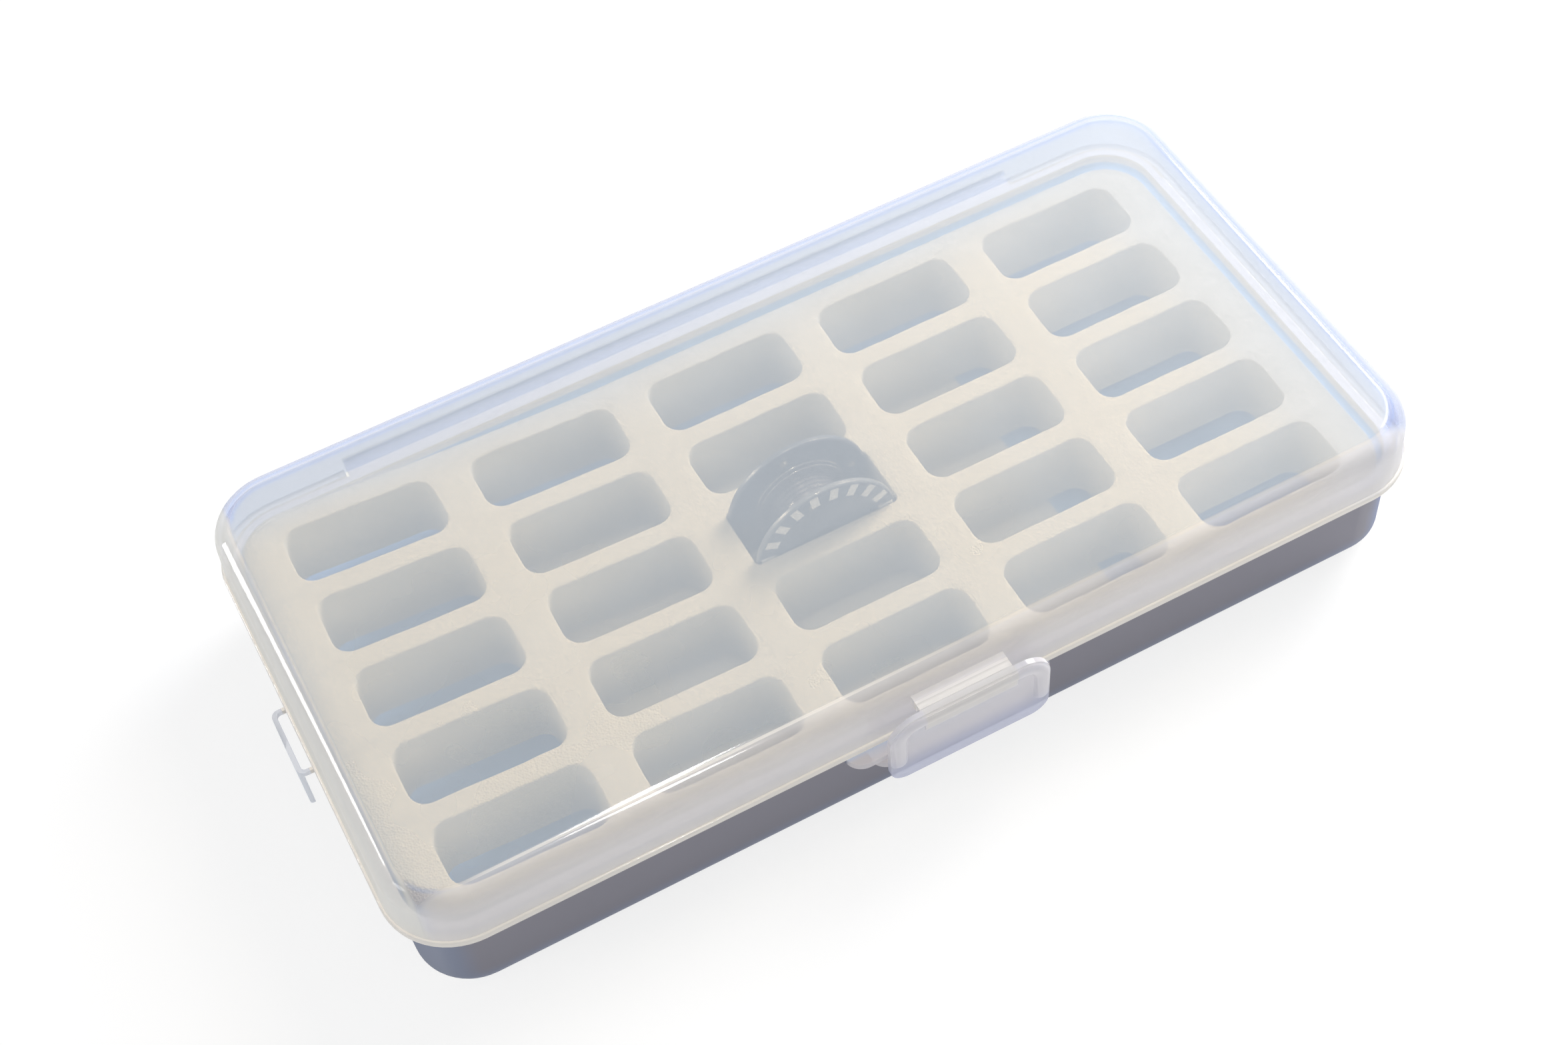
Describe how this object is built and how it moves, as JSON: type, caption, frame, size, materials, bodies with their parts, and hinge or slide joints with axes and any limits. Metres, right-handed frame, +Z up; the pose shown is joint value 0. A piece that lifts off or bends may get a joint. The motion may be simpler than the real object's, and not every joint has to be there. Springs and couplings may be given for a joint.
{
  "type": "bobbin box",
  "caption": "Flat frosted plastic box with a living-hinge lid, a front latch flap, a hang loop and a slotted foam insert that holds sewing bobbins on edge.",
  "frame": {"origin": "centre of the tray's underside", "axes": "+X along the box's long side, to the right seen from the latch; +Y towards the hinge at the back; +Z up out of the tray. Lid and latch closed."},
  "size_m": [0.1824, 0.0975, 0.0284],
  "materials": {
    "frosted_plastic": "frosted translucent polypropylene",
    "foam": "fine closed-cell foam",
    "paper": "plain cream paper label",
    "bobbin": "dark blue-grey, smooth, with fine turned rings and light edge marks"
  },
  "bodies": {
    "tray": {"tray": "frosted_plastic", "foam_insert": "foam", "underside_label": "paper", "hinge_web": "frosted_plastic"},
    "lid": {"lid": "frosted_plastic", "latch_web": "frosted_plastic"},
    "latch": {"latch_flap": "frosted_plastic"},
    "bobbin": {"bobbin": "bobbin"}
  },
  "joints": [
    {"name": "lid_hinge", "type": "hinge", "parent": "tray", "child": "lid", "pos_m": [0, 0.0474, 0.019], "axis": [-1, 0, 0], "range_deg": [0, 180], "deforming": ["hinge_web"]},
    {"name": "latch_hinge", "type": "hinge", "parent": "lid", "child": "latch", "pos_m": [0.0015, -0.0473, 0.02465], "axis": [-1, 0, 0], "range_deg": [0, 110], "deforming": ["latch_web"]},
    {"name": "bobbin_spin", "type": "hinge", "parent": "tray", "child": "bobbin", "pos_m": [0, 0, 0.0141], "axis": [0, 1, 0], "continuous": true}
  ]
}
